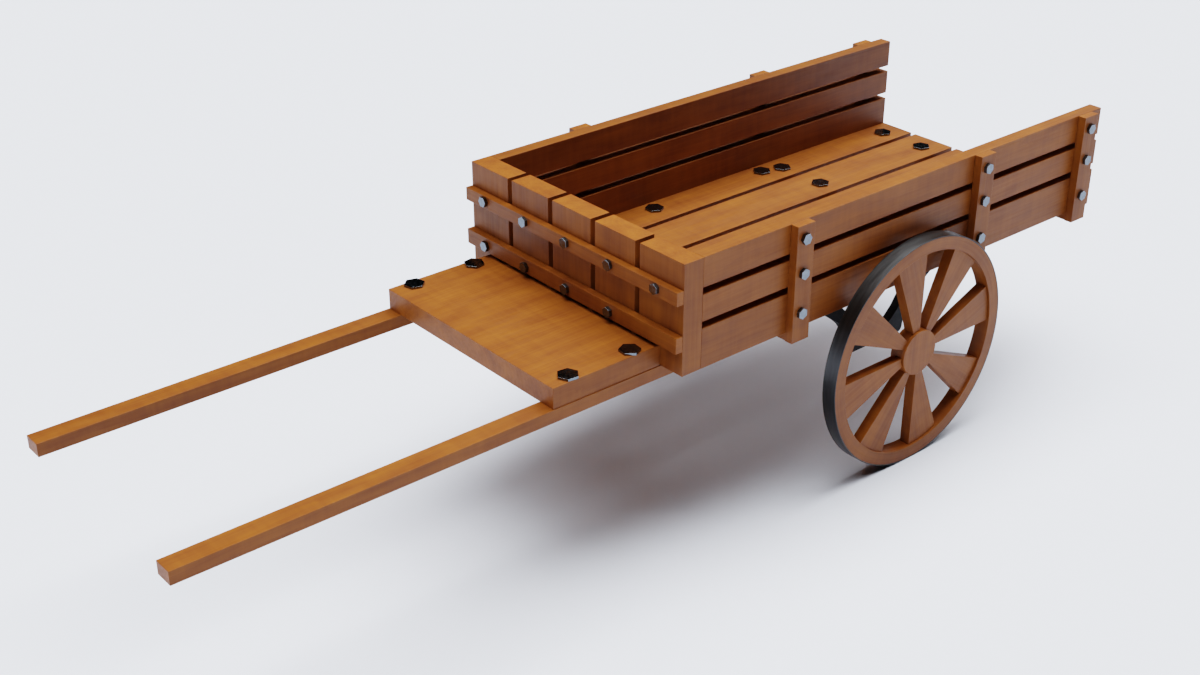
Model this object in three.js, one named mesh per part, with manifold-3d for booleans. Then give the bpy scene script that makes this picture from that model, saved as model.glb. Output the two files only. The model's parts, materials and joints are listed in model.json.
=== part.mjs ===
// A two-wheeled wooden hand cart: an open slatted bed on two long pull shafts and a through axle.
//
// Millimetres, +Z up. X runs across the cart and +X is the puller's left. The cart is pulled
// towards -Y. The ground is Z = 0 and the origin lies on it, under the middle of the whole cart.
import * as THREE from "three";
import { mergeVertices } from "three/addons/utils/BufferGeometryUtils.js";
import Module from "manifold-3d";

const wasm = await Module();
wasm.setup();

// ---------------------------------------------------------------- driving dimensions (mm)

const GAP = 0.3; // clearance between pieces that touch
const OVERLAP = 4; // how far a tenon's root reaches into the piece that it belongs to
const OVERRUN = 10; // how far a cut runs past the surface that it starts from

const BED = {
  length: 1500, // outside the headboard to the open rear end
  width: 770, // over the side planks
  base: 473, // ground to the underside of the floor and walls
  wallHeight: 276,
  plankPitch: 154.6, // across the bed, shared by headboard and floor
  plankCount: 5,
};

const HEADBOARD = { thickness: 57, slot: 15.5 };

// Each batten runs across the headboard's front face; heights are above BED.base.
const HEADBOARD_BATTEN = {
  thickness: 19.5,
  heights: { lower: [63, 102], upper: [180, 213] },
};

const FLOOR = { thickness: 22.5, slot: 16 };

const SIDE = {
  thickness: 36,
  heights: { bottom: [0, 101], middle: [118.5, 185], top: [202.5, 276] },
};

// Upright battens outside the side planks, one at each cross beam; stations are from the headboard.
const SIDE_BATTEN = { thickness: 22, width: 56 };
const STATIONS = { front: 354, middle: 1004, rear: 1429 };

const CROSS_BEAM = { width: 52, thickness: 21 };

const SHAFT = {
  width: 49,
  thickness: 32,
  outerFace: 315, // from the cart's centre line
  reach: 1212, // tips ahead of the headboard
};

const PLATFORM = { width: 626, depth: 307, thickness: 52 };

const AXLE = {
  station: 739, // from the headboard
  height: 307, // the wheel's radius
  radius: 14,
  collarRadius: 24,
  collarWidth: 12,
  threadRadius: 10,
  endClearance: 1.5, // from its end to the hub cap
};

const NUT = { acrossFlats: 34, thickness: 8 };

// The bracket is symmetric about the axle; its lengths along the cart are from the axle's centre.
const BRACKET = {
  thickness: 24,
  fromCentreLine: 302,
  tabEnd: 219,
  tabInner: 172,
  tabThickness: 20,
  heel: 103, // outside of the legs, just over the bottom
  saddleHalf: 85, // half the length of the straight bottom
  saddleInner: 20, // half the length of the straight top of the saddle
  bottom: 277, // height of its underside over the ground
  saddleTop: 304,
  eyeRadius: 28,
  knee: 28, // where the outside of a leg leaves the tab, from the tab's inner end
  toe: 18, // where the rounded heel starts, over the bottom
  heelRound: 1,
  heelLean: 1,
  // How far the curves of a leg pull towards their end points: along the cart and up.
  heelPull: 65,
  kneePull: [62, 44],
  tabPull: [92, 40],
  saddlePull: [90, 41],
};

const WHEEL = {
  radius: 307,
  width: 40,
  tyreThickness: 2.5,
  rimInner: 271,
  clearOfSide: 34, // side plank to the rim's inner face
  spokeCount: 8,
  spokeHalfAngle: THREE.MathUtils.degToRad(11),
  spokePhase: THREE.MathUtils.degToRad(11),
  spokeThickness: 28,
};

const HUB = {
  radius: 60,
  proud: 2, // inner face beyond the rim's inner face
  capThickness: 8,
  boreClearance: 0.1,
  recessRadius: 27,
  recessFloor: 1, // outboard of the wheel's mid plane
};

// Tenons on the two ends of each spoke: how deep they go, and their half sizes.
const HUB_TENON = { depth: 20, halfWidth: 7, halfThickness: 6 };
const RIM_TENON = { depth: 14, halfWidth: 22, halfThickness: 8 };

const SEGMENTS = { wheel: 96, hub: 36, arc: 6 };

// ---------------------------------------------------------------- finishes

const finish = (color, roughness, metalness = 0) =>
  new THREE.MeshStandardMaterial({ color, roughness, metalness });

const BOARD = finish(0x9a5f36, 0.5);
const BATTEN = finish(0x8f5530, 0.5);
const SHAFT_WOOD = finish(0xa86c3c, 0.5);
const WHEEL_WOOD = finish(0x8e6248, 0.55);
const BLACK_IRON = finish(0x1c1f22, 0.5, 0.8);
const TYRE_IRON = finish(0x3c4146, 0.4, 0.9);

// ---------------------------------------------------------------- shape helpers

// Local axes of a flat outline (across, up, extruded) laid along the cart's X or Y.
const UNIT = [
  new THREE.Vector3(1, 0, 0),
  new THREE.Vector3(0, 1, 0),
  new THREE.Vector3(0, 0, 1),
];
const ALONG_X = new THREE.Matrix4().makeBasis(UNIT[1], UNIT[2], UNIT[0]);
const ALONG_Y = new THREE.Matrix4().makeBasis(UNIT[0], UNIT[2], UNIT[1].clone().negate());

function named(name, geometry, material) {
  const mesh = new THREE.Mesh(geometry, material);
  mesh.name = name;
  return mesh;
}

// A straight board that fills the given spans.
function board(name, [x0, x1], [y0, y1], [z0, z1], material) {
  const mesh = named(name, new THREE.BoxGeometry(x1 - x0, y1 - y0, z1 - z0), material);
  mesh.position.set((x0 + x1) / 2, (y0 + y1) / 2, (z0 + z1) / 2);
  return mesh;
}

// An outline drawn in (y, z), carried along X on both sides of x = 0.
function extrudeAlongX(outline, width) {
  const options = { depth: width, bevelEnabled: false, curveSegments: SEGMENTS.arc };
  return new THREE.ExtrudeGeometry(outline, options)
    .translate(0, 0, -width / 2)
    .applyMatrix4(ALONG_X);
}

// An outline drawn in (x, z), carried along Y on both sides of y = 0.
function extrudeAlongY(outline, width) {
  return new THREE.ExtrudeGeometry(outline, { depth: width, bevelEnabled: false })
    .translate(0, 0, -width / 2)
    .applyMatrix4(ALONG_Y);
}

// A profile of [radius, x] points, turned about the X axis.
function turned(profile, segments) {
  const points = profile.map(([radius, x]) => new THREE.Vector2(radius, x));
  return new THREE.LatheGeometry(points, segments).rotateZ(-Math.PI / 2);
}

function turnedRing(inner, outer, x0, x1, segments) {
  const corners = [[inner, x0], [outer, x0], [outer, x1], [inner, x1], [inner, x0]];
  return turned(corners, segments);
}

function turnedDisc(radius, x0, x1, segments) {
  return turned([[0, x0], [radius, x0], [radius, x1], [0, x1]], segments);
}

function polygon(points) {
  return new THREE.Shape(points.map(([across, up]) => new THREE.Vector2(across, up)));
}

function solidOf(geometry) {
  const bare = geometry.index ? geometry.toNonIndexed() : geometry.clone();
  bare.deleteAttribute("normal");
  bare.deleteAttribute("uv");
  const merged = mergeVertices(bare, 1e-3);
  const mesh = new wasm.Mesh({
    numProp: 3,
    vertProperties: merged.attributes.position.array,
    triVerts: new Uint32Array(merged.index.array),
  });
  return new wasm.Manifold(mesh);
}

function geometryOf(solid) {
  const mesh = solid.getMesh();
  const geometry = new THREE.BufferGeometry();
  geometry.setAttribute("position", new THREE.BufferAttribute(mesh.vertProperties, 3));
  geometry.setIndex(new THREE.BufferAttribute(mesh.triVerts, 1));
  geometry.computeVertexNormals();
  return geometry;
}

// The spans of the planks laid side by side across the bed, out to the given half width.
function plankSpans(slot, halfWidth) {
  const { plankCount, plankPitch } = BED;
  const middleOfSlot = (i) => (i - plankCount / 2) * plankPitch;
  return Array.from({ length: plankCount }, (_, i) => [
    i === 0 ? -halfWidth : middleOfSlot(i) + slot / 2,
    i === plankCount - 1 ? halfWidth : middleOfSlot(i + 1) - slot / 2,
  ]);
}

// Heights above the underside of the bed, as spans over the ground.
const overBase = ([low, high]) => [BED.base + low, BED.base + high];

// Runs a maker once for each side: +1 is the puller's left.
function onBothSides(make) {
  return [["left", 1], ["right", -1]].flatMap(([side, sign]) => make(side, sign));
}

// A span of distances from the centre line, on the given side.
const mirrored = (near, far, sign) => (sign > 0 ? [near, far] : [-far, -near]);

// ---------------------------------------------------------------- bed

const halfBed = BED.width / 2;
const behindHeadboard = [HEADBOARD.thickness + GAP, BED.length];

function headboard() {
  const planks = plankSpans(HEADBOARD.slot, halfBed).map((span, i) =>
    board(`headboard_plank_${i + 1}`, span, [0, HEADBOARD.thickness], overBase([0, BED.wallHeight]), BOARD),
  );
  const front = [-HEADBOARD_BATTEN.thickness - GAP, -GAP];
  const battens = Object.entries(HEADBOARD_BATTEN.heights).map(([place, heights]) =>
    board(`headboard_batten_${place}`, [-halfBed, halfBed], front, overBase(heights), BATTEN),
  );
  return [...planks, ...battens];
}

function floor() {
  return plankSpans(FLOOR.slot, halfBed - SIDE.thickness - GAP).map((span, i) =>
    board(`floor_plank_${i + 1}`, span, behindHeadboard, overBase([0, FLOOR.thickness]), BOARD),
  );
}

function sideWalls() {
  return onBothSides((side, sign) => {
    const across = mirrored(halfBed - SIDE.thickness, halfBed, sign);
    const planks = Object.entries(SIDE.heights).map(([place, heights]) =>
      board(`${side}_side_plank_${place}`, across, behindHeadboard, overBase(heights), BOARD),
    );
    const outside = mirrored(halfBed + GAP, halfBed + GAP + SIDE_BATTEN.thickness, sign);
    const heights = overBase([-CROSS_BEAM.thickness - GAP, BED.wallHeight]);
    const battens = Object.entries(STATIONS).map(([place, station]) => {
      const along = [station - SIDE_BATTEN.width / 2, station + SIDE_BATTEN.width / 2];
      return board(`${side}_side_batten_${place}`, outside, along, heights, BATTEN);
    });
    return [...planks, ...battens];
  });
}

// ---------------------------------------------------------------- chassis

const underBed = BED.base - GAP; // top of the shafts and the cross beams
const shaftInner = SHAFT.outerFace - SHAFT.width;
const shaftCentre = SHAFT.outerFace - SHAFT.width / 2;
const lap = CROSS_BEAM.thickness / 2; // half lap of a beam over a shaft

// Side view of a shaft: a plain bar with a half-lap housing in its top for each cross beam.
function shaftOutline() {
  const top = underBed;
  const points = [[-SHAFT.reach, top - SHAFT.thickness], [BED.length, top - SHAFT.thickness]];
  points.push([BED.length, top]);
  for (const station of Object.values(STATIONS).reverse()) {
    const reach = CROSS_BEAM.width / 2 + GAP;
    points.push([station + reach, top], [station + reach, top - lap - GAP / 2]);
    points.push([station - reach, top - lap - GAP / 2], [station - reach, top]);
  }
  points.push([-SHAFT.reach, top]);
  return polygon(points);
}

function shafts() {
  return onBothSides((side, sign) => {
    const shaft = named(`${side}_shaft`, extrudeAlongX(shaftOutline(), SHAFT.width), SHAFT_WOOD);
    shaft.position.x = sign * shaftCentre;
    return [shaft];
  });
}

// Front view of a cross beam: notched underneath where it drops over each shaft.
function crossBeamOutline() {
  const bottom = underBed - CROSS_BEAM.thickness;
  const notchTop = underBed - lap + GAP / 2;
  const points = [[-halfBed, underBed], [-halfBed, bottom]];
  for (const centre of [-shaftCentre, shaftCentre]) {
    const reach = SHAFT.width / 2 + GAP;
    points.push([centre - reach, bottom], [centre - reach, notchTop]);
    points.push([centre + reach, notchTop], [centre + reach, bottom]);
  }
  points.push([halfBed, bottom], [halfBed, underBed]);
  return polygon(points);
}

function crossBeams() {
  return Object.entries(STATIONS).map(([place, station]) => {
    const geometry = extrudeAlongY(crossBeamOutline(), CROSS_BEAM.width);
    const beam = named(`cross_beam_${place}`, geometry, BATTEN);
    beam.position.y = station;
    return beam;
  });
}

function platform() {
  const across = [-PLATFORM.width / 2, PLATFORM.width / 2];
  const along = [-PLATFORM.depth, -GAP];
  return board("front_platform", across, along, overBase([0, PLATFORM.thickness]), BOARD);
}

// ---------------------------------------------------------------- axle and its brackets

// Side view of a bracket, x = 0 at the axle and y = 0 on the ground: two tabs under the shaft, two
// S-curved legs and a straight saddle that carries the axle.
function bracketOutline() {
  const { tabEnd, tabInner, tabThickness, heel, saddleHalf, saddleInner, bottom, saddleTop } = BRACKET;
  const { heelRound, heelLean, heelPull, kneePull, tabPull, saddlePull } = BRACKET;
  const top = underBed - SHAFT.thickness - GAP;
  const tabBottom = top - tabThickness;
  const knee = tabInner + BRACKET.knee;
  const toe = bottom + BRACKET.toe;
  const heelBend = [heel + heelLean, toe + heelPull];
  const kneeBend = [knee - kneePull[0], tabBottom - kneePull[1]];
  const tabBend = [tabInner - tabPull[0], top - tabPull[1]];
  const saddleBend = [saddleInner + saddlePull[0], saddleTop + saddlePull[1]];
  const mirroredPoint = ([along, up]) => [-along, up];
  const outline = new THREE.Shape();
  outline.moveTo(-saddleHalf, bottom);
  outline.lineTo(saddleHalf, bottom);
  outline.quadraticCurveTo(heel - heelRound, bottom, heel, toe);
  outline.bezierCurveTo(...heelBend, ...kneeBend, knee, tabBottom);
  outline.lineTo(tabEnd, tabBottom);
  outline.lineTo(tabEnd, top);
  outline.lineTo(tabInner, top);
  outline.bezierCurveTo(...tabBend, ...saddleBend, saddleInner, saddleTop);
  outline.lineTo(-saddleInner, saddleTop);
  outline.bezierCurveTo(...mirroredPoint(saddleBend), ...mirroredPoint(tabBend), -tabInner, top);
  outline.lineTo(-tabEnd, top);
  outline.lineTo(-tabEnd, tabBottom);
  outline.lineTo(-knee, tabBottom);
  outline.bezierCurveTo(...mirroredPoint(kneeBend), ...mirroredPoint(heelBend), -heel, toe);
  outline.quadraticCurveTo(heelRound - heel, bottom, -saddleHalf, bottom);
  return outline;
}

function bracketGeometry() {
  const { thickness, eyeRadius } = BRACKET;
  const half = thickness / 2;
  const atAxle = (geometry) => solidOf(geometry.translate(0, 0, AXLE.height));
  const bar = solidOf(extrudeAlongX(bracketOutline(), thickness));
  const eye = atAxle(turnedDisc(eyeRadius, -half, half, SEGMENTS.hub));
  const hole = atAxle(turnedDisc(AXLE.radius + GAP, -thickness, thickness, SEGMENTS.hub));
  return geometryOf(bar.add(eye).subtract(hole));
}

const wheelMiddle = halfBed + WHEEL.clearOfSide + WHEEL.width / 2; // from the centre line
const hubInner = -WHEEL.width / 2 - HUB.proud; // from the wheel's mid plane
const hubOuter = WHEEL.width / 2 - HUB.capThickness - GAP;
const nutInner = HUB.recessFloor + GAP;

function axleGear() {
  const collarOuter = wheelMiddle + hubInner - GAP;
  const collarInner = collarOuter - AXLE.collarWidth;
  const shoulder = wheelMiddle + HUB.recessFloor;
  const end = wheelMiddle + hubOuter - AXLE.endClearance;
  const half = [
    [AXLE.radius, collarInner], [AXLE.collarRadius, collarInner],
    [AXLE.collarRadius, collarOuter], [AXLE.radius, collarOuter],
    [AXLE.radius, shoulder], [AXLE.threadRadius, shoulder],
    [AXLE.threadRadius, end], [0, end],
  ];
  const otherHalf = half.map(([radius, x]) => [radius, -x]).reverse();
  const axle = named("axle", turned([...otherHalf, ...half], SEGMENTS.hub), BLACK_IRON);
  axle.position.set(0, AXLE.station, AXLE.height);

  const pieces = onBothSides((side, sign) => {
    const bracket = named(`${side}_axle_bracket`, bracketGeometry(), BLACK_IRON);
    bracket.position.set(sign * BRACKET.fromCentreLine, AXLE.station, 0);

    const nutRadius = NUT.acrossFlats / Math.sqrt(3);
    const hole = AXLE.threadRadius + GAP;
    const blank = solidOf(turnedDisc(nutRadius, nutInner, nutInner + NUT.thickness, 6));
    const boreEnds = [nutInner - OVERRUN, nutInner + NUT.thickness + OVERRUN];
    const bore = solidOf(turnedDisc(hole, ...boreEnds, SEGMENTS.hub));
    const nut = named(`${side}_axle_nut`, geometryOf(blank.subtract(bore)), BLACK_IRON);
    nut.position.set(sign * wheelMiddle, AXLE.station, AXLE.height);
    nut.rotation.z = sign > 0 ? 0 : Math.PI;
    return [bracket, nut];
  });
  return [axle, ...pieces];
}

// ---------------------------------------------------------------- wheels

// Each wheel is made about its own centre with +X outboard.
const rimOuter = WHEEL.radius - WHEEL.tyreThickness - GAP;
const spokeAngles = Array.from(
  { length: WHEEL.spokeCount },
  (_, i) => WHEEL.spokePhase + (i * 2 * Math.PI) / WHEEL.spokeCount,
);

// A block that runs out along +Y, for tenons and, grown by a clearance, for their mortises.
function radialBlock(from, to, { halfWidth, halfThickness }, grow = 0) {
  const size = [2 * (halfThickness + grow), to - from, 2 * (halfWidth + grow)];
  return new THREE.BoxGeometry(...size).translate(0, (from + to) / 2, 0);
}

function withMortises(geometry, block) {
  return spokeAngles.reduce(
    (solid, angle) => solid.subtract(solidOf(block().rotateX(angle))),
    solidOf(geometry),
  );
}

// A spoke is a wedge between two radii with straight sides, tenoned into the hub and the rim.
function spokeGeometry() {
  const [inner, outer] = [HUB.radius + GAP, WHEEL.rimInner - GAP];
  const half = WHEEL.spokeHalfAngle;
  const outline = new THREE.Shape();
  outline.absarc(0, 0, outer, -half, half, false);
  outline.absarc(0, 0, inner, half, -half, true);
  const wedge = solidOf(extrudeAlongX(outline, WHEEL.spokeThickness));
  const hubTenon = radialBlock(HUB.radius - HUB_TENON.depth, HUB.radius + OVERLAP, HUB_TENON);
  const rimTenon = radialBlock(WHEEL.rimInner - OVERLAP, WHEEL.rimInner + RIM_TENON.depth, RIM_TENON);
  return geometryOf(wedge.add(solidOf(hubTenon)).add(solidOf(rimTenon)));
}

function rimGeometry() {
  const half = WHEEL.width / 2;
  const ring = turnedRing(WHEEL.rimInner, rimOuter, -half, half, SEGMENTS.wheel);
  const end = WHEEL.rimInner + RIM_TENON.depth + GAP;
  return geometryOf(withMortises(ring, () => radialBlock(WHEEL.rimInner - OVERRUN, end, RIM_TENON, GAP)));
}

function hubGeometry() {
  const bore = AXLE.radius + HUB.boreClearance;
  const profile = [
    [bore, hubInner], [HUB.radius, hubInner], [HUB.radius, hubOuter],
    [HUB.recessRadius, hubOuter], [HUB.recessRadius, HUB.recessFloor],
    [bore, HUB.recessFloor], [bore, hubInner],
  ];
  const start = HUB.radius - HUB_TENON.depth - GAP;
  const mortise = () => radialBlock(start, HUB.radius + OVERRUN, HUB_TENON, GAP);
  return geometryOf(withMortises(turned(profile, SEGMENTS.hub), mortise));
}

function wheel(side, sign) {
  const half = WHEEL.width / 2;
  const tyreInner = WHEEL.radius - WHEEL.tyreThickness;
  const tyre = turnedRing(tyreInner, WHEEL.radius, -half, half, SEGMENTS.wheel);
  const cap = turnedDisc(HUB.radius, half - HUB.capThickness, half, SEGMENTS.hub);
  const group = new THREE.Group();
  group.add(
    named(`${side}_wheel_tyre`, tyre, TYRE_IRON),
    named(`${side}_wheel_rim`, rimGeometry(), WHEEL_WOOD),
    named(`${side}_wheel_hub`, hubGeometry(), WHEEL_WOOD),
    named(`${side}_wheel_hub_cap`, cap, WHEEL_WOOD),
  );
  spokeAngles.forEach((angle, i) => {
    const spoke = named(`${side}_wheel_spoke_${i + 1}`, spokeGeometry(), WHEEL_WOOD);
    spoke.rotation.x = angle;
    group.add(spoke);
  });
  group.position.set(sign * wheelMiddle, AXLE.station, AXLE.height);
  group.rotation.z = sign > 0 ? 0 : Math.PI;
  return [group];
}

// ---------------------------------------------------------------- the cart

// Everything is placed from the headboard's front face, then moved so that the origin is central.
const cart = new THREE.Group();
cart.position.y = (SHAFT.reach - BED.length) / 2;
cart.add(...headboard(), ...floor(), ...sideWalls());
cart.add(...shafts(), ...crossBeams(), platform());
cart.add(...axleGear(), ...onBothSides(wheel));

const root = new THREE.Group();
root.add(cart);

export default root;
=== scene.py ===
"""The looks of a two-wheeled wooden hand cart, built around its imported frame.

Metres, +Z up. X runs across the cart, and +X is the puller's left. The cart is pulled towards -Y
and stands on the ground, Z = 0. Sizes of pieces and patterns are given in millimetres and are
turned to metres where they are used.
"""

from __future__ import annotations

import json
import logging
import math
import random
from dataclasses import dataclass, field
from enum import Enum
from typing import Iterable, Sequence

import bmesh
import bpy
from mathutils import Matrix, Quaternion, Vector

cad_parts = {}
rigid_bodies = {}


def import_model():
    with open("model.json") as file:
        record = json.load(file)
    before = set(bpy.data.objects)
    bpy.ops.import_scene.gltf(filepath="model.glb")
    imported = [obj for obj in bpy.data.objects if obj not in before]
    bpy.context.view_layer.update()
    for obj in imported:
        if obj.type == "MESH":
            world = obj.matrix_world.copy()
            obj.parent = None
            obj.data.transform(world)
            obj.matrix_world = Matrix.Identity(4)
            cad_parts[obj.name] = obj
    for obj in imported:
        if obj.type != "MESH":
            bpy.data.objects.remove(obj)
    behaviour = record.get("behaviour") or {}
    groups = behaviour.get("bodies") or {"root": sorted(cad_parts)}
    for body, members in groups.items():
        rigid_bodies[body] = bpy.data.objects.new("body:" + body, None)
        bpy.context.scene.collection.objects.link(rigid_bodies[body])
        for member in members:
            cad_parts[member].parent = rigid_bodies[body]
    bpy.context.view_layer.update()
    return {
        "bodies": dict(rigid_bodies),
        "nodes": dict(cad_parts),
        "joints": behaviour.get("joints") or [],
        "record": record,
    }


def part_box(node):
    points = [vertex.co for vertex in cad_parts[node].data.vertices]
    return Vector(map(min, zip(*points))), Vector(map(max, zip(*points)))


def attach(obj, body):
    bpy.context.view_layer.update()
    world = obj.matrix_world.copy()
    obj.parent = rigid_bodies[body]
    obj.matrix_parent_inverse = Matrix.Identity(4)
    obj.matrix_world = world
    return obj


LOG = logging.getLogger("hand_cart")
MM = 0.001
FRAME_BODY = "frame"
SIDES = {"left": 1, "right": -1}
STATIONS = ("front", "middle", "rear")
FLAT_TO_FLAT = math.sqrt(3)  # a hexagon's width over its flats, for a corner radius of 1
CORNERS = 6  # of a hexagon

# Blender's noise has values from 0 to 1, mostly near the middle.
NOISE_SPAN = (0.35, 0.65)  # where most of its values lie
NOISE_REACH = 0.25  # how far its rarer values stray from the middle
NOISE_ROUGHNESS = 0.55

# The scale at which Blender's wave texture has one ring in each unit of length.
RINGS_PER_UNIT = math.pi / 10

# A Mix node has sockets for each type of value. These are the numbers of those for colours.
COLOUR_A = 6
COLOUR_B = 7
COLOUR_RESULT = 2


class Direction(Enum):
    """Directions of the cart, as unit vectors."""

    ACROSS = (1.0, 0.0, 0.0)
    ALONG = (0.0, 1.0, 0.0)
    UP = (0.0, 0.0, 1.0)

    @property
    def vector(self) -> Vector:
        """The direction as a vector."""
        return Vector(self.value)


# ---------------------------------------------------------------- node and colour helpers


def linear(colour: str) -> tuple[float, float, float, float]:
    """Turns an sRGB hex colour to linear light.

    Args:
        colour: six hex digits after a "#".

    Returns:
        Red, green, blue and an opaque alpha.
    """
    channels = [int(colour[i : i + 2], 16) / 255 for i in (1, 3, 5)]
    red, green, blue = (c / 12.92 if c <= 0.04045 else ((c + 0.055) / 1.055) ** 2.4 for c in channels)
    return red, green, blue, 1.0


def scaled(colour: str, factor: float) -> tuple[float, float, float, float]:
    """Turns an sRGB hex colour to linear light and makes it lighter or darker.

    Args:
        colour: six hex digits after a "#".
        factor: what the linear colour is multiplied by.

    Returns:
        Red, green, blue and an opaque alpha.
    """
    red, green, blue, alpha = linear(colour)
    return red * factor, green * factor, blue * factor, alpha


def add_node(
    tree: bpy.types.NodeTree,
    kind: str,
    settings: dict[str, object] | None = None,
    inputs: dict[str | int, object] | None = None,
) -> bpy.types.Node:
    """Adds a node with its settings and links.

    Args:
        tree: the node tree that gets the node.
        kind: the node's type name.
        settings: the node's own properties, by name.
        inputs: a value, or the output socket that feeds it, for each input by name or number.

    Returns:
        The new node.
    """
    node = tree.nodes.new(kind)
    for name, value in (settings or {}).items():
        setattr(node, name, value)
    for name, value in (inputs or {}).items():
        if isinstance(value, bpy.types.NodeSocket):
            tree.links.new(value, node.inputs[name])
        else:
            node.inputs[name].default_value = value
    return node


def measured(
    tree: bpy.types.NodeTree, place: bpy.types.NodeSocket, size: tuple[float, float, float]
) -> bpy.types.NodeSocket:
    """Measures places in blobs of a real size, so that a pattern gets that size.

    Args:
        tree: the material's node tree.
        place: the place of each point, in metres.
        size: a blob's length, width and depth, in millimetres.

    Returns:
        The socket of the place, in blobs.
    """
    blobs_per_metre = tuple(1 / (length * MM) for length in size)
    node = add_node(
        tree, "ShaderNodeVectorMath", {"operation": "MULTIPLY"}, {0: place, 1: blobs_per_metre}
    )
    return node.outputs[0]


def mottle(
    tree: bpy.types.NodeTree,
    place: bpy.types.NodeSocket,
    size: tuple[float, float, float],
    detail: float = 2.0,
) -> bpy.types.NodeSocket:
    """Adds a mottled pattern whose blobs have a real size.

    Args:
        tree: the material's node tree.
        place: the place of each point, in metres.
        size: the blobs' length, width and depth, in millimetres.
        detail: how many finer layers it has.

    Returns:
        A socket from 0 to 1, mostly near the middle.
    """
    texture = add_node(
        tree,
        "ShaderNodeTexNoise",
        None,
        {
            "Vector": measured(tree, place, size),
            "Scale": 1.0,
            "Detail": detail,
            "Roughness": NOISE_ROUGHNESS,
        },
    )
    return texture.outputs["Fac"]


def layered(
    tree: bpy.types.NodeTree, layers: Iterable[tuple[bpy.types.NodeSocket, float]], start: float
) -> bpy.types.NodeSocket:
    """Adds several patterns, each with its own weight, on top of a starting value.

    Args:
        tree: the material's node tree.
        layers: each pattern's socket and weight.
        start: the value that the weighted patterns are added to.

    Returns:
        The socket of the sum.
    """
    total: bpy.types.NodeSocket | float = start
    for socket, weight in layers:
        total = add_node(
            tree, "ShaderNodeMath", {"operation": "MULTIPLY_ADD"}, {0: socket, 1: weight, 2: total}
        ).outputs[0]
    return total


def between(
    tree: bpy.types.NodeTree,
    value: bpy.types.NodeSocket,
    span: tuple[float, float],
    colours: tuple[tuple[float, float, float, float], tuple[float, float, float, float]],
) -> bpy.types.NodeSocket:
    """Colours a pattern between two colours.

    Args:
        tree: the material's node tree.
        value: the pattern.
        span: the values that get the first and the second colour.
        colours: both colours, in linear light.

    Returns:
        The socket of the colour.
    """
    share = add_node(
        tree, "ShaderNodeMapRange", None, {"Value": value, "From Min": span[0], "From Max": span[1]}
    )
    mix = add_node(
        tree,
        "ShaderNodeMix",
        {"data_type": "RGBA"},
        {"Factor": share.outputs[0], COLOUR_A: colours[0], COLOUR_B: colours[1]},
    )
    return mix.outputs[COLOUR_RESULT]


# ---------------------------------------------------------------- how a piece is cut from the wood


@dataclass(frozen=True)
class StraightCut:
    """A piece sawn straight out of a log, its grain along one direction.

    Attributes:
        grain: the direction of the grain, in the cart's frame.
        centre: the middle of the piece, in metres.
        draw: the piece's own random numbers.
    """

    grain: Vector
    centre: Vector
    draw: random.Random
    heart_distance: tuple[float, float] = (60.0, 150.0)  # mm from the piece to the log's heart
    log_length: float = 4000.0  # mm
    turned_to_grain: tuple[float, float] = (0.6, 0.9)  # cosines where end grain starts and is full

    def place_in_log(self, tree: bpy.types.NodeTree) -> bpy.types.NodeSocket:
        """Adds the nodes that give each point's place in the log.

        Args:
            tree: the material's node tree.

        Returns:
            The socket of the place, in metres, with the log's heart along X.
        """
        turn = self.grain.rotation_difference(Direction.ACROSS.vector)
        distance = self.draw.uniform(*self.heart_distance) * MM
        bearing = self.draw.uniform(0, math.tau)
        along = self.draw.uniform(0, self.log_length) * MM
        target = Vector((along, distance * math.cos(bearing), distance * math.sin(bearing)))
        coordinates = add_node(tree, "ShaderNodeTexCoord")
        mapping = add_node(
            tree,
            "ShaderNodeMapping",
            {"vector_type": "POINT"},
            {
                "Vector": coordinates.outputs["Object"],
                "Location": target - turn @ self.centre,
                "Rotation": turn.to_euler(),
            },
        )
        return mapping.outputs["Vector"]

    def end_grain(self, tree: bpy.types.NodeTree) -> bpy.types.NodeSocket:
        """Adds the nodes that tell end grain, 1, from the sides of the piece, 0.

        Args:
            tree: the material's node tree.

        Returns:
            The socket of that value.
        """
        coordinates = add_node(tree, "ShaderNodeTexCoord")
        facing = add_node(
            tree,
            "ShaderNodeVectorMath",
            {"operation": "DOT_PRODUCT"},
            {0: coordinates.outputs["Normal"], 1: self.grain},
        )
        turned = add_node(
            tree, "ShaderNodeMath", {"operation": "ABSOLUTE"}, {0: facing.outputs["Value"]}
        )
        least, full = self.turned_to_grain
        share = add_node(
            tree,
            "ShaderNodeMapRange",
            None,
            {"Value": turned.outputs[0], "From Min": least, "From Max": full},
        )
        return share.outputs[0]


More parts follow.
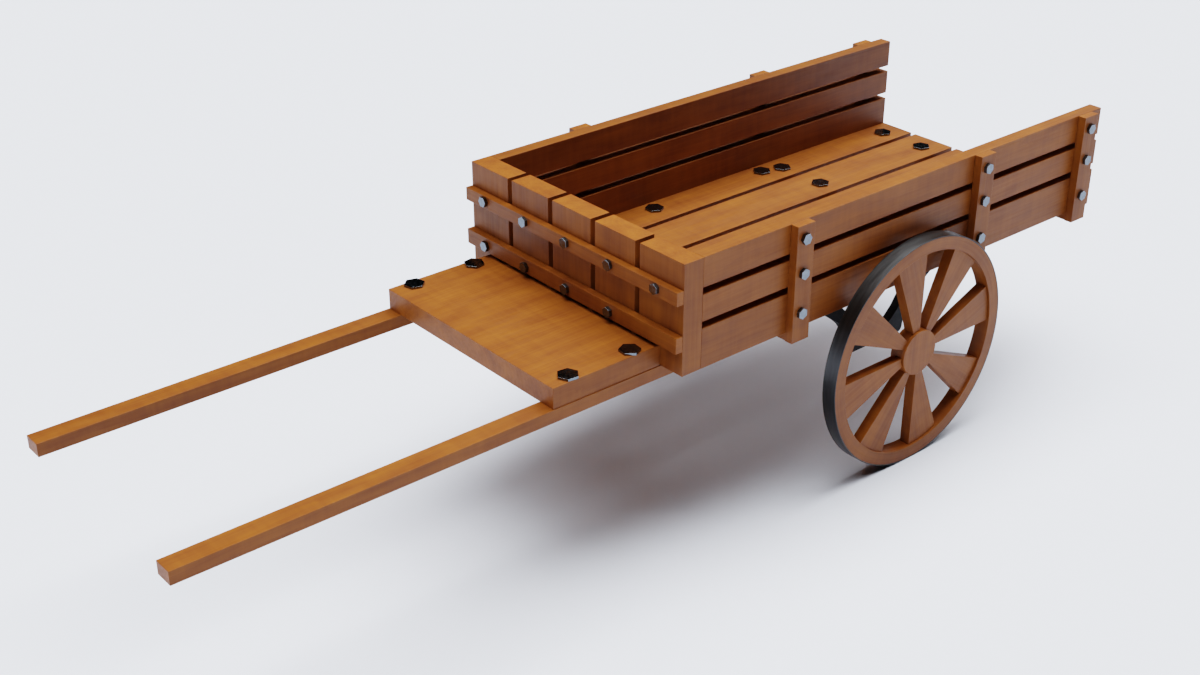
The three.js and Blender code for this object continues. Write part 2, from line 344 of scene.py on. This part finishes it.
@dataclass(frozen=True)
class BentCut:
    """A piece bent or rolled round an axle, so that its grain runs round it.

    Attributes:
        centre: a point on the axle, which lies along X, in metres.
        radius: the radius at which lengths round the axle are true, in metres.
        draw: the piece's own random numbers.
    """

    centre: Vector
    radius: float
    draw: random.Random
    heart_distance: float = 80.0  # mm from the wheel's middle plane to the log's heart
    log_length: float = 4000.0  # mm
    log_spread: float = 200.0  # mm, how far off its middle the stock was cut

    def place_in_log(self, tree: bpy.types.NodeTree) -> bpy.types.NodeSocket:
        """Adds the nodes that give each point's place in the straight stock it was bent from.

        Args:
            tree: the material's node tree.

        Returns:
            The socket of the place, in metres, with the stock along X.
        """
        coordinates = add_node(tree, "ShaderNodeTexCoord")
        from_centre = add_node(
            tree,
            "ShaderNodeVectorMath",
            {"operation": "SUBTRACT"},
            {0: coordinates.outputs["Object"], 1: self.centre},
        )
        split = add_node(tree, "ShaderNodeSeparateXYZ", None, {0: from_centre.outputs[0]})
        angle = add_node(
            tree,
            "ShaderNodeMath",
            {"operation": "ARCTAN2"},
            {0: split.outputs["Z"], 1: split.outputs["Y"]},
        )
        round_it = add_node(
            tree, "ShaderNodeMath", {"operation": "MULTIPLY"}, {0: angle.outputs[0], 1: self.radius}
        )
        flat = add_node(
            tree,
            "ShaderNodeVectorMath",
            {"operation": "MULTIPLY"},
            {0: from_centre.outputs[0], 1: (0.0, 1.0, 1.0)},
        )
        outwards = add_node(
            tree, "ShaderNodeVectorMath", {"operation": "LENGTH"}, {0: flat.outputs[0]}
        )
        place = add_node(
            tree,
            "ShaderNodeCombineXYZ",
            None,
            {"X": round_it.outputs[0], "Y": outwards.outputs["Value"], "Z": split.outputs["X"]},
        )
        along = self.draw.uniform(0, self.log_length)
        aside = self.draw.uniform(-self.log_spread, self.log_spread)
        shift = Vector((along, aside, self.heart_distance)) * MM
        shifted = add_node(
            tree, "ShaderNodeVectorMath", {"operation": "ADD"}, {0: place.outputs[0], 1: shift}
        )
        return shifted.outputs[0]


# ---------------------------------------------------------------- finishes


@dataclass(frozen=True)
class OiledPine:
    """Pine, sawn, lightly planed and rubbed with linseed oil.

    The eye gets a warm orange brown that hardly changes along a board, faint wavy rings along
    the grain, faint upright marks where the saw crossed it, and a soft sheen that picks up the
    pale floor on the upright faces.
    """

    name: str = "oiled_pine"
    early: str = "#864D17"  # wood grown in spring, between the rings
    late: str = "#5A2A08"  # wood grown in summer, the rings
    end_grain_factor: float = 1.2  # sawn end grain scatters more light
    board_spread: float = 0.04  # how far one board is lighter or darker than the next
    ring_spacing: float = 14.0  # mm; real rings are 2 to 4, drawn coarser so that they show
    fibre: tuple[float, float, float] = (140.0, 6.0, 6.0)  # mm; real fibres are under 1 wide
    saw_mark: tuple[float, float, float] = (18.0, 120.0, 120.0)  # mm; real marks are 2 to 5 apart
    patch: tuple[float, float, float] = (180.0, 45.0, 45.0)  # mm, patches that took more oil
    wander: float = 14.0  # mm, how far the rings wander sideways
    bend: tuple[float, float, float] = (625.0, 111.0, 111.0)  # mm, lengths over which they do
    ring_raggedness: float = 0.6
    ring_detail: float = 2.0  # layers of finer raggedness
    ring_detail_scale: float = 4.0  # how much finer each of them is
    fibre_detail: float = 3.0  # layers of finer fibres
    # How much of the colour each pattern gives: rings, fibre, saw marks and patches.
    colour_weights: tuple[float, float, float, float] = (0.10, 0.20, 0.35, 0.8)
    tone_span: tuple[float, float] = (0.1, 0.9)  # tones that are all late and all early wood
    roughness: tuple[float, float] = (0.42, 0.52)
    sheen_level: float = 0.22  # dry oil fills the pores only in part
    relief: float = 0.15  # mm, height of the raised grain
    relief_strength: float = 0.6
    # How much of the relief each pattern gives: fibre, saw marks and rings.
    relief_weights: tuple[float, float, float] = (1.0, 0.6, 0.2)

    def rings(
        self, tree: bpy.types.NodeTree, place: bpy.types.NodeSocket, phase: float
    ) -> bpy.types.NodeSocket:
        """Adds the growth rings round the log's heart.

        Args:
            tree: the material's node tree.
            place: each point's place in the log, in metres.
            phase: where the rings start.

        Returns:
            A socket that rises across each ring from 0 to 1 and then falls sharply.
        """
        texture = add_node(
            tree,
            "ShaderNodeTexNoise",
            None,
            {"Vector": measured(tree, place, self.bend), "Scale": 1.0, "Detail": self.ring_detail},
        )
        sway = self.wander * MM / NOISE_REACH
        sideways = add_node(
            tree,
            "ShaderNodeVectorMath",
            {"operation": "MULTIPLY_ADD"},
            {0: texture.outputs["Color"], 1: (0.0, sway, sway), 2: place},
        )
        wave = add_node(
            tree,
            "ShaderNodeTexWave",
            {"wave_type": "RINGS", "rings_direction": "X", "wave_profile": "SAW"},
            {
                "Vector": sideways.outputs[0],
                "Scale": RINGS_PER_UNIT / (self.ring_spacing * MM),
                "Distortion": self.ring_raggedness,
                "Detail": self.ring_detail,
                "Detail Scale": self.ring_detail_scale,
                "Phase Offset": phase,
            },
        )
        return wave.outputs["Fac"]

    def material(self, piece: str, cut: StraightCut | BentCut) -> bpy.types.Material:
        """Makes the finish of one piece of wood.

        Args:
            piece: the piece's name.
            cut: how the piece was cut from the wood.

        Returns:
            The material.
        """
        material = bpy.data.materials.new(f"{self.name}_{piece}")
        material.use_nodes = True
        tree = material.node_tree
        shader = tree.nodes["Principled BSDF"]
        place = cut.place_in_log(tree)
        rings = self.rings(tree, place, cut.draw.uniform(0, math.tau))
        fibre = mottle(tree, place, self.fibre, self.fibre_detail)
        saw = mottle(tree, place, self.saw_mark)
        patch = mottle(tree, place, self.patch)
        darkest = (1 - sum(self.colour_weights)) / 2  # so that the tones lie round a half
        tone = layered(tree, zip((rings, fibre, saw, patch), self.colour_weights), darkest)
        board = 1 + cut.draw.uniform(-self.board_spread, self.board_spread)
        colours = (scaled(self.late, board), scaled(self.early, board))
        colour = between(tree, tone, self.tone_span, colours)
        if isinstance(cut, StraightCut):
            colour = self.with_end_grain(tree, colour, cut)
        smooth, rough = self.roughness
        least, most = NOISE_SPAN
        dull = add_node(
            tree,
            "ShaderNodeMapRange",
            None,
            {"Value": fibre, "From Min": least, "From Max": most, "To Min": rough, "To Max": smooth},
        )
        height = layered(tree, zip((fibre, saw, rings), self.relief_weights), 0.0)
        bump = add_node(
            tree,
            "ShaderNodeBump",
            None,
            {"Height": height, "Distance": self.relief * MM, "Strength": self.relief_strength},
        )
        tree.links.new(colour, shader.inputs["Base Color"])
        tree.links.new(dull.outputs["Result"], shader.inputs["Roughness"])
        tree.links.new(bump.outputs["Normal"], shader.inputs["Normal"])
        shader.inputs["Specular IOR Level"].default_value = self.sheen_level
        return material

    def with_end_grain(
        self, tree: bpy.types.NodeTree, colour: bpy.types.NodeSocket, cut: StraightCut
    ) -> bpy.types.NodeSocket:
        """Lightens the faces that cross the grain.

        Args:
            tree: the material's node tree.
            colour: the colour of the sides.
            cut: how the piece was cut from the wood.

        Returns:
            The socket of the colour with its end grain.
        """
        sawn = add_node(
            tree,
            "ShaderNodeVectorMath",
            {"operation": "SCALE"},
            {0: colour, "Scale": self.end_grain_factor},
        )
        mix = add_node(
            tree,
            "ShaderNodeMix",
            {"data_type": "RGBA"},
            {"Factor": cut.end_grain(tree), COLOUR_A: colour, COLOUR_B: sawn.outputs[0]},
        )
        return mix.outputs[COLOUR_RESULT]


@dataclass(frozen=True)
class Iron:
    """A worked piece of iron or steel, by how its surface was left.

    Attributes:
        name: the finish's name.
        light: its lighter colour.
        dark: its darker colour.
        metallic: 1 for bare metal, less where scale or paint covers it.
        roughness: its smoothest and its roughest spots.
        mark: length, width and depth in mm of the marks that the work left.
        relief: depth of those marks in mm.
        mark_detail: how many finer layers they have.
    """

    name: str
    light: str
    dark: str
    metallic: float
    roughness: tuple[float, float]
    mark: tuple[float, float, float]
    relief: float
    mark_detail: float = 3.0

    def material(self, piece: str, cut: StraightCut | BentCut) -> bpy.types.Material:
        """Makes the finish of one piece of iron.

        Args:
            piece: the piece's name.
            cut: the way that the marks of the work run.

        Returns:
            The material.
        """
        material = bpy.data.materials.new(f"{self.name}_{piece}")
        material.use_nodes = True
        tree = material.node_tree
        shader = tree.nodes["Principled BSDF"]
        place = cut.place_in_log(tree)
        marks = mottle(tree, place, self.mark, self.mark_detail)
        colour = between(tree, marks, NOISE_SPAN, (linear(self.dark), linear(self.light)))
        smooth, rough = self.roughness
        least, most = NOISE_SPAN
        dull = add_node(
            tree,
            "ShaderNodeMapRange",
            None,
            {"Value": marks, "From Min": least, "From Max": most, "To Min": smooth, "To Max": rough},
        )
        tree.links.new(colour, shader.inputs["Base Color"])
        tree.links.new(dull.outputs["Result"], shader.inputs["Roughness"])
        shader.inputs["Metallic"].default_value = self.metallic
        bump = add_node(
            tree, "ShaderNodeBump", None, {"Height": marks, "Distance": self.relief * MM}
        )
        tree.links.new(bump.outputs["Normal"], shader.inputs["Normal"])
        return material


# Every wooden piece, wheels and shafts as well.
BOARD = OiledPine()

# Mild steel forged black hot: a dark, dull skin of scale with soft hammer dents.
FORGED_IRON = Iron("forged_iron", "#26282B", "#141517", 0.7, (0.48, 0.65), (16, 12, 12), 0.3)

# Rolled iron strap bent and shrunk onto the rim: dark grey, smooth, streaked lengthwise. The streaks
# that the rollers leave are about 2 mm wide and are drawn coarser, so that they show.
ROLLED_IRON = Iron("rolled_iron", "#464748", "#3B3B3C", 1.0, (0.34, 0.44), (120, 12, 12), 0.03)

# Zinc-plated steel fastenings: dull grey, nearly smooth, so that they mirror what they face. The
# grain of the plating is far under 1 mm and is drawn coarser, so that it shows.
ZINC_STEEL = Iron("zinc_plated_steel", "#6C747C", "#5F666D", 1.0, (0.12, 0.20), (6, 6, 6), 0.01)


# ---------------------------------------------------------------- dressing the carried-over pieces


@dataclass(frozen=True)
class EdgeSoftening:
    """Takes the machine sharpness off a carried-over piece with modifiers, its mesh untouched.

    Attributes:
        width: how far the plane took each edge back, in mm.
        flatten: whether faces in one plane are joined before that.
    """

    width: float
    flatten: bool = True
    weld_distance: float = 0.01  # mm
    sharp_angle: float = math.radians(38)
    flat_angle: float = math.radians(0.5)
    segments: int = 2

    def normals_group(self) -> bpy.types.NodeTree:
        """Makes, once, the geometry nodes that smooth curved faces and keep sharp edges.

        Returns:
            The node group.
        """
        name = "smooth_by_angle"
        if name in bpy.data.node_groups:
            return bpy.data.node_groups[name]
        group = bpy.data.node_groups.new(name, "GeometryNodeTree")
        for in_out in ("INPUT", "OUTPUT"):
            group.interface.new_socket(
                name="Geometry", in_out=in_out, socket_type="NodeSocketGeometry"
            )
        source = add_node(group, "NodeGroupInput")
        angle = add_node(group, "GeometryNodeInputMeshEdgeAngle")
        sharp = add_node(
            group,
            "FunctionNodeCompare",
            {"operation": "GREATER_THAN"},
            {0: angle.outputs["Unsigned Angle"], 1: self.sharp_angle},
        )
        smooth = add_node(
            group, "GeometryNodeSetShadeSmooth", None, {0: source.outputs[0], "Shade Smooth": True}
        )
        normals = add_node(
            group,
            "GeometryNodeSetMeshNormal",
            {"mode": "SHARPNESS"},
            {
                "Mesh": smooth.outputs[0],
                "Remove Custom": True,
                "Edge Sharpness": sharp.outputs[0],
                "Face Sharpness": False,
            },
        )
        add_node(group, "NodeGroupOutput", None, {0: normals.outputs[0]})
        return group

    def apply_to(self, piece: bpy.types.Object) -> None:
        """Gives a piece the modifiers.

        Args:
            piece: the piece.
        """
        weld = piece.modifiers.new("weld", "WELD")
        weld.merge_threshold = self.weld_distance * MM
        if self.flatten:
            flat = piece.modifiers.new("flatten", "DECIMATE")
            flat.decimate_type = "DISSOLVE"
            flat.angle_limit = self.flat_angle
        normals = piece.modifiers.new("normals", "NODES")
        normals.node_group = self.normals_group()
        bevel = piece.modifiers.new("soft_edges", "BEVEL")
        bevel.width = self.width * MM
        bevel.segments = self.segments
        bevel.limit_method = "ANGLE"
        bevel.angle_limit = self.sharp_angle
        bevel.harden_normals = True


WOOD_EDGES = EdgeSoftening(0.8)
WHEEL_EDGES = EdgeSoftening(0.6, flatten=False)
IRON_EDGES = EdgeSoftening(1.0, flatten=False)


def middle_of(node: str) -> Vector:
    """The middle of a carried-over piece's box, in metres."""
    low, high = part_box(node)
    return (low + high) / 2


def dress(
    node: bpy.types.Object, material: bpy.types.Material, edges: EdgeSoftening
) -> None:
    """Gives a carried-over piece its finish and its soft edges, and reports it.

    Args:
        node: the piece.
        material: its finish.
        edges: how its edges are softened.
    """
    for slot in node.material_slots:
        slot.material = material
    edges.apply_to(node)
    LOG.info("dressed %s in %s", node.name, material.name)


def dress_wood(node: bpy.types.Object, finish: OiledPine, grain: Vector) -> None:
    """Dresses a straight wooden piece.

    Args:
        node: the piece.
        finish: its wood.
        grain: the direction of its grain.
    """
    cut = StraightCut(grain, middle_of(node.name), random.Random(node.name))
    dress(node, finish.material(node.name, cut), WOOD_EDGES)


# ---------------------------------------------------------------- bolts and screws


@dataclass(frozen=True)
class HexFastening:
    """The hexagonal head of a bolt or a coach screw.

    Attributes:
        across_flats: width of the head over two flats, in mm.
        head_height: height of the head, in mm.
    """

    across_flats: float
    head_height: float
    edge_radius: float = 0.5  # mm
    edge_segments: int = 2

    def head(self) -> list[list[Vector]]:
        """Works out the two outlines of the head.

        Returns:
            The corners at its seat and then those at its top, in mm.
        """
        radius = self.across_flats / FLAT_TO_FLAT
        angles = [corner * math.tau / CORNERS for corner in range(CORNERS)]
        return [
            [Vector((radius * math.cos(a), radius * math.sin(a), height)) for a in angles]
            for height in (0.0, self.head_height)
        ]


class FasteningRow:
    """A row of like fastenings, which make one piece.

    Attributes:
        name: the piece's name.
        kind: what every fastening in the row is.
        mesh: the heads made so far.
        draw: the row's own random numbers.
    """

    sharp_angle = math.radians(20)

    def __init__(self, name: str, kind: HexFastening) -> None:
        """Starts an empty row.

        Args:
            name: the piece's name.
            kind: what every fastening in the row is.
        """
        self.name = name
        self.kind = kind
        self.mesh = bmesh.new()
        self.draw = random.Random(name)

    def add_solid(self, rings: Sequence[Sequence[Vector]], place: Matrix) -> None:
        """Skins rings of points into one closed solid.

        Args:
            rings: the rings, each of the same number of points, from one end to the other, in mm.
            place: where the solid goes, from millimetres at its seat to the cart's frame.
        """
        loops = [[self.mesh.verts.new(place @ point) for point in ring] for ring in rings]
        count = len(loops[0])
        for low, high in zip(loops, loops[1:]):
            for i in range(count):
                j = (i + 1) % count
                self.mesh.faces.new((low[i], low[j], high[j], high[i]))
        self.mesh.faces.new(list(reversed(loops[0])))
        self.mesh.faces.new(loops[-1])

    def seat(self, at: Vector, out: Vector) -> Matrix:
        """Where a fastening goes, with the chance turn that the spanner left it at.

        Args:
            at: the middle of its seat, in metres.
            out: the direction that it stands out in.

        Returns:
            The matrix from millimetres at the seat to the cart's frame.
        """
        turn = Direction.UP.vector.rotation_difference(out)
        spin = Quaternion(Direction.UP.vector, self.draw.uniform(0, math.tau))
        return Matrix.LocRotScale(at, turn @ spin, Vector((MM, MM, MM)))

    def add_head(self, at: Vector, out: Vector) -> None:
        """Adds a head with its seat at a point, standing out in a direction."""
        self.add_solid(self.kind.head(), self.seat(at, out))

    def finish(self, body: str) -> bpy.types.Object:
        """Makes the row a piece that rides on a body.

        Args:
            body: the body's name.

        Returns:
            The piece.
        """
        data = bpy.data.meshes.new(self.name)
        self.mesh.to_mesh(data)
        self.mesh.free()
        for polygon in data.polygons:
            polygon.use_smooth = True
        data.set_sharp_from_angle(angle=self.sharp_angle)
        piece = bpy.data.objects.new(self.name, data)
        bpy.context.scene.collection.objects.link(piece)
        cut = StraightCut(Direction.ACROSS.vector, Vector(), self.draw)
        data.materials.append(ZINC_STEEL.material(self.name, cut))
        bevel = piece.modifiers.new("rounded_edges", "BEVEL")
        bevel.width = self.kind.edge_radius * MM
        bevel.segments = self.kind.edge_segments
        bevel.limit_method = "ANGLE"
        bevel.harden_normals = True
        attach(piece, body)
        LOG.info("made %s", self.name)
        return piece


# ---------------------------------------------------------------- sub-assemblies


@dataclass
class Bed:
    """The open bed: headboard, slatted floor and two slatted side walls with their battens."""

    frame: dict
    wood: OiledPine = BOARD
    plank_count: int = 5
    plank_rows: tuple[str, ...] = ("bottom", "middle", "top")
    wall_screw: HexFastening = HexFastening(across_flats=25, head_height=9)
    headboard_screw: HexFastening = HexFastening(across_flats=24, head_height=9)
    headboard_rows: tuple[tuple[str, int, float], ...] = (
        ("lower", 4, -2.0),
        ("upper", 5, 3.0),
    )  # each batten's number of screws and how many mm they are over its middle
    headboard_screw_shift: float = 3.0  # mm from the middle of each plank
    wall_screw_shift: tuple[float, float] = (3.5, 3.0)  # mm ahead of and over the middles

    def build(self) -> None:
        """Dresses the bed and adds its screws."""
        self.dress_headboard()
        self.dress_floor()
        self.dress_walls()
        self.add_headboard_screws()
        self.add_wall_screws()

    def wood_piece(self, node: str, grain: Direction) -> None:
        """Dresses one wooden piece with its grain along a direction."""
        dress_wood(self.frame["nodes"][node], self.wood, grain.vector)

    def dress_headboard(self) -> None:
        """Dresses the headboard's upright planks and its two battens."""
        for number in range(1, self.plank_count + 1):
            self.wood_piece(f"headboard_plank_{number}", Direction.UP)
        for place in ("lower", "upper"):
            self.wood_piece(f"headboard_batten_{place}", Direction.ACROSS)

    def dress_floor(self) -> None:
        """Dresses the floor planks."""
        for number in range(1, self.plank_count + 1):
            self.wood_piece(f"floor_plank_{number}", Direction.ALONG)

    def dress_walls(self) -> None:
        """Dresses the side planks and the upright battens outside them."""
        for side in SIDES:
            for row in self.plank_rows:
                self.wood_piece(f"{side}_side_plank_{row}", Direction.ALONG)
            for station in STATIONS:
                self.wood_piece(f"{side}_side_batten_{station}", Direction.UP)

    def add_headboard_screws(self) -> None:
        """Adds the screws through each batten into the planks of the headboard."""
        for place, count, over in self.headboard_rows:
            batten = f"headboard_batten_{place}"
            row = FasteningRow(f"{batten}_screws", self.headboard_screw)
            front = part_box(batten)[0].y
            height = middle_of(batten).z + over * MM
            for number in range(1, count + 1):
                x = middle_of(f"headboard_plank_{number}").x + self.headboard_screw_shift * MM
                row.add_head(Vector((x, front, height)), -Direction.ALONG.vector)
            row.finish(FRAME_BODY)

    def add_wall_screws(self) -> None:
        """Adds a screw through each side batten into each side plank."""
        for side, sign in SIDES.items():
            heights = [middle_of(f"{side}_side_plank_{row}").z for row in self.plank_rows]
            ahead, over = self.wall_screw_shift
            for station in STATIONS:
                batten = f"{side}_side_batten_{station}"
                row = FasteningRow(f"{batten}_screws", self.wall_screw)
                low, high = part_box(batten)
                outer = high.x if sign > 0 else low.x
                for z in heights:
                    seat = Vector((outer, middle_of(batten).y - ahead * MM, z + over * MM))
                    row.add_head(seat, sign * Direction.ACROSS.vector)
                row.finish(FRAME_BODY)


@dataclass
class Chassis:
    """Two long pull shafts, three cross beams and the front platform, all bolted through."""

    frame: dict
    wood: OiledPine = BOARD
    screw: HexFastening = HexFastening(across_flats=45, head_height=6)
    inner_screw_offset: float = 143.0  # mm from the centre line to those between the shafts
    front_screw_setback: float = 16.0  # mm from the front beam's middle to its row of screws
    platform_screw_insets: tuple[float, float] = (59.0, 71.0)  # mm from its front and rear edges

    def build(self) -> None:
        """Dresses the chassis and adds its bolts."""
        for side in SIDES:
            node = self.frame["nodes"][f"{side}_shaft"]
            dress_wood(node, self.wood, Direction.ALONG.vector)
        for station in STATIONS:
            node = self.frame["nodes"][f"cross_beam_{station}"]
            dress_wood(node, self.wood, Direction.ACROSS.vector)
        node = self.frame["nodes"]["front_platform"]
        dress_wood(node, self.wood, Direction.ALONG.vector)
        self.add_beam_screws()
        self.add_platform_screws()

    def add_beam_screws(self) -> None:
        """Adds the screws through the floor into each cross beam and, at its two laps, the shafts."""
        floor_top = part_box("floor_plank_1")[1].z
        inner = self.inner_screw_offset * MM
        across = [-inner, 0.0, inner] + [middle_of(f"{side}_shaft").x for side in SIDES]
        for station in STATIONS:
            beam = f"cross_beam_{station}"
            row = FasteningRow(f"{beam}_screws", self.screw)
            setback = self.front_screw_setback if station == "front" else 0.0
            y = middle_of(beam).y + setback * MM
            for x in across:
                row.add_head(Vector((x, y, floor_top)), Direction.UP.vector)
            row.finish(FRAME_BODY)

    def add_platform_screws(self) -> None:
        """Adds two coach screws through the platform into each shaft."""
        low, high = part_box("front_platform")
        front_inset, rear_inset = self.platform_screw_insets
        row = FasteningRow("front_platform_screws", self.screw)
        for side in SIDES:
            x = middle_of(f"{side}_shaft").x
            for y in (low.y + front_inset * MM, high.y - rear_inset * MM):
                row.add_head(Vector((x, y, high.z)), Direction.UP.vector)
        row.finish(FRAME_BODY)


@dataclass
class AxleGear:
    """The through axle, its two forged brackets and the bolts that hang them on the shafts."""

    frame: dict
    iron: Iron = FORGED_IRON
    bolt: HexFastening = HexFastening(across_flats=45, head_height=6)
    bolt_offset: float = 202.0  # mm from the bracket's middle to its bolts, in its end tabs
    bolt_outset: float = 6.0  # mm outboard of the bracket's middle
    names: tuple[str, ...] = (
        "axle",
        "left_axle_bracket",
        "right_axle_bracket",
        "left_axle_nut",
        "right_axle_nut",
    )

    def build(self) -> None:
        """Dresses the ironwork and adds its bolts."""
        for name in self.names:
            node = self.frame["nodes"][name]
            cut = StraightCut(Direction.ACROSS.vector, middle_of(name), random.Random(name))
            dress(node, self.iron.material(name, cut), IRON_EDGES)
        self.add_bracket_bolts()

    def add_bracket_bolts(self) -> None:
        """Adds two bolts through the floor and the shaft into each bracket."""
        floor_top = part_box("floor_plank_1")[1].z
        for side, sign in SIDES.items():
            bracket = f"{side}_axle_bracket"
            middle = middle_of(bracket)
            x = middle.x + sign * self.bolt_outset * MM
            row = FasteningRow(f"{bracket}_bolts", self.bolt)
            for end in (-1, 1):
                y = middle.y + end * self.bolt_offset * MM
                row.add_head(Vector((x, y, floor_top)), Direction.UP.vector)
            row.finish(FRAME_BODY)


@dataclass
class Wheel:
    """One spoked wheel: a wooden hub, eight wedge spokes and a rim inside an iron tyre."""

    frame: dict
    side: str
    wood: OiledPine = BOARD
    tyre_iron: Iron = ROLLED_IRON
    spoke_count: int = 8

    @property
    def centre(self) -> Vector:
        """The middle of the wheel, in metres."""
        return middle_of(f"{self.side}_wheel_rim")

    def build(self) -> None:
        """Dresses every piece of the wheel."""
        self.dress_bent("tyre", self.tyre_iron)
        self.dress_bent("rim", self.wood)
        for piece in ("hub", "hub_cap"):
            self.dress_straight(piece, Direction.UP.vector)
        for number in range(1, self.spoke_count + 1):
            name = f"spoke_{number}"
            outwards = middle_of(f"{self.side}_wheel_{name}") - self.centre
            outwards.x = 0
            self.dress_straight(name, outwards.normalized())

    def dress_bent(self, piece: str, finish: OiledPine | Iron) -> None:
        """Dresses a piece that was bent round the wheel.

        Args:
            piece: the piece's name within the wheel.
            finish: its wood or iron.
        """
        name = f"{self.side}_wheel_{piece}"
        low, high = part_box(name)
        cut = BentCut(self.centre, (high.y - low.y) / 2, random.Random(name))
        dress(self.frame["nodes"][name], finish.material(name, cut), WHEEL_EDGES)

    def dress_straight(self, piece: str, grain: Vector) -> None:
        """Dresses a straight wooden piece of the wheel.

        Args:
            piece: the piece's name within the wheel.
            grain: the direction of its grain.
        """
        name = f"{self.side}_wheel_{piece}"
        cut = StraightCut(grain, middle_of(name), random.Random(name))
        dress(self.frame["nodes"][name], self.wood.material(name, cut), WHEEL_EDGES)


# ---------------------------------------------------------------- studio


@dataclass
class Studio:
    """A plain pale floor under a row of broad overhead lights, and the camera."""

    azimuth: float = math.radians(49.9)  # from straight ahead of the cart towards its left
    elevation: float = math.radians(28.0)
    distance: float = 4.0  # m, from the aim point
    aim: Vector = field(default_factory=lambda: Vector((0.030, -0.082, 0.407)))
    lens: float = 50.0  # mm, on a sensor 36 mm wide
    floor_radius: float = 40.0  # m
    floor_colour: str = "#D8DEEA"
    floor_segments: int = 64
    light_strength: float = 9.0  # of all the lights together
    light_spread: float = math.radians(46)
    light_lean: float = math.radians(4)  # of every light from overhead to the cart's right
    light_row: tuple[float, ...] = (-20.0, 0.0, 20.0, 40.0)  # degrees from overhead to the rear
    paper_tooth: tuple[float, float, float] = (40.0, 40.0, 40.0)  # mm; drawn coarse so that it shows
    paper_tooth_span: tuple[float, float] = (0.3, 0.7)
    paper_spread: float = 0.005  # how far its tone strays
    backdrop_strength: float = 2.6  # as bright as the lit floor

    def build(self) -> None:
        """Sets the camera, the floor, the light and the surroundings."""
        self.set_camera()
        self.lay_floor()
        self.hang_lights()
        self.set_surroundings()
        bpy.context.scene.view_settings.view_transform = "Filmic"
        bpy.context.scene.view_settings.look = "Medium High Contrast"

    def set_camera(self) -> None:
        """Sets the camera on its aim point."""
        back = Vector(
            (
                math.sin(self.azimuth) * math.cos(self.elevation),
                -math.cos(self.azimuth) * math.cos(self.elevation),
                math.sin(self.elevation),
            )
        )
        data = bpy.data.cameras.new("camera")
        data.lens = self.lens
        camera = bpy.data.objects.new("camera", data)
        bpy.context.scene.collection.objects.link(camera)
        camera.location = self.aim + self.distance * back
        camera.rotation_euler = back.to_track_quat("Z", "Y").to_euler()
        bpy.context.scene.camera = camera
        LOG.info("set the camera at %s", tuple(camera.location))

    def lay_floor(self) -> None:
        """Lays one round sheet of pale floor."""
        mesh = bmesh.new()
        bmesh.ops.create_circle(
            mesh, cap_ends=True, segments=self.floor_segments, radius=self.floor_radius
        )
        data = bpy.data.meshes.new("studio_floor")
        mesh.to_mesh(data)
        mesh.free()
        floor = bpy.data.objects.new("studio_floor", data)
        bpy.context.scene.collection.objects.link(floor)
        data.materials.append(self.floor_paper())
        LOG.info("laid the floor")

    def floor_paper(self) -> bpy.types.Material:
        """Makes matt background paper: one even pale tone, with no gloss.

        Returns:
            The material.
        """
        material = bpy.data.materials.new("matt_background_paper")
        material.use_nodes = True
        tree = material.node_tree
        shader = tree.nodes["Principled BSDF"]
        coordinates = add_node(tree, "ShaderNodeTexCoord")
        tooth = mottle(tree, coordinates.outputs["Object"], self.paper_tooth)
        tones = (1 - self.paper_spread, 1 + self.paper_spread)
        colours = (scaled(self.floor_colour, tones[0]), scaled(self.floor_colour, tones[1]))
        colour = between(tree, tooth, self.paper_tooth_span, colours)
        tree.links.new(colour, shader.inputs["Base Color"])
        shader.inputs["Roughness"].default_value = 1.0
        shader.inputs["Specular IOR Level"].default_value = 0.0
        return material

    def hang_lights(self) -> None:
        """Hangs a row of broad soft lights overhead, along the cart."""
        for degrees in self.light_row:
            data = bpy.data.lights.new("overhead_light", "SUN")
            data.energy = self.light_strength / len(self.light_row)
            data.angle = self.light_spread
            light = bpy.data.objects.new("overhead_light", data)
            bpy.context.scene.collection.objects.link(light)
            light.rotation_mode = "YXZ"
            light.rotation_euler = (-math.radians(degrees), -self.light_lean, 0.0)
            LOG.info("hung a light %.0f degrees to the rear of overhead", degrees)

    def set_surroundings(self) -> None:
        """Makes the surroundings pale to look at but dark as a source of light."""
        world = bpy.data.worlds.new("studio_surroundings")
        bpy.context.scene.world = world
        world.use_nodes = True
        tree = world.node_tree
        background = tree.nodes["Background"]
        background.inputs["Color"].default_value = linear(self.floor_colour)
        path = add_node(tree, "ShaderNodeLightPath")
        strength = add_node(
            tree,
            "ShaderNodeMath",
            {"operation": "MULTIPLY"},
            {0: path.outputs["Is Camera Ray"], 1: self.backdrop_strength},
        )
        tree.links.new(strength.outputs[0], background.inputs["Strength"])


def main() -> None:
    """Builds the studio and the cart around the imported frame."""
    logging.basicConfig(level=logging.INFO, format="%(message)s")
    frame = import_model()
    Studio().build()
    Bed(frame).build()
    Chassis(frame).build()
    AxleGear(frame).build()
    for side in SIDES:
        Wheel(frame, side).build()


if __name__ == "__main__":
    main()
